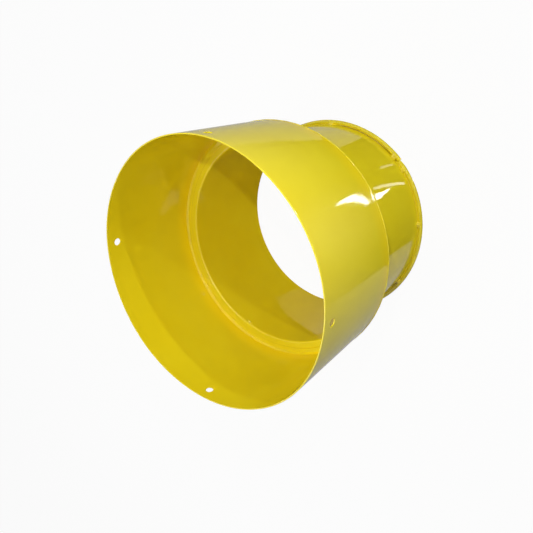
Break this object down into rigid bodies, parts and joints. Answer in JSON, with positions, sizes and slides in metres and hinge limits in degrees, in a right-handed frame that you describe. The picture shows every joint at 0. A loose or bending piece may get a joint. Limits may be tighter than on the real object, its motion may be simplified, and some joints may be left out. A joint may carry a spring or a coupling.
{
  "type": "duct inlet adapter",
  "caption": "Welded sheet-steel adapter that steps a wide fan or hood outlet down to a narrow collar with a wire bead for flexible duct.",
  "frame": {"origin": "centre of the narrow collar's open end, on the duct's axis", "axes": "+Z along the duct's axis towards the wide mouth; +X and +Y each through a screw hole"},
  "size_m": [0.3312, 0.3312, 0.3025],
  "materials": {
    "coated_sheet": "glossy yellow powder coat",
    "coated_rod": "glossy yellow powder coat",
    "coated_weld": "weld bead under glossy yellow powder coat"
  },
  "bodies": {
    "root": {"wide_shell": "coated_sheet", "step_ring": "coated_sheet", "narrow_collar": "coated_sheet", "wire_ring": "coated_rod", "wire_tacks": "coated_weld"}
  },
  "joints": []
}
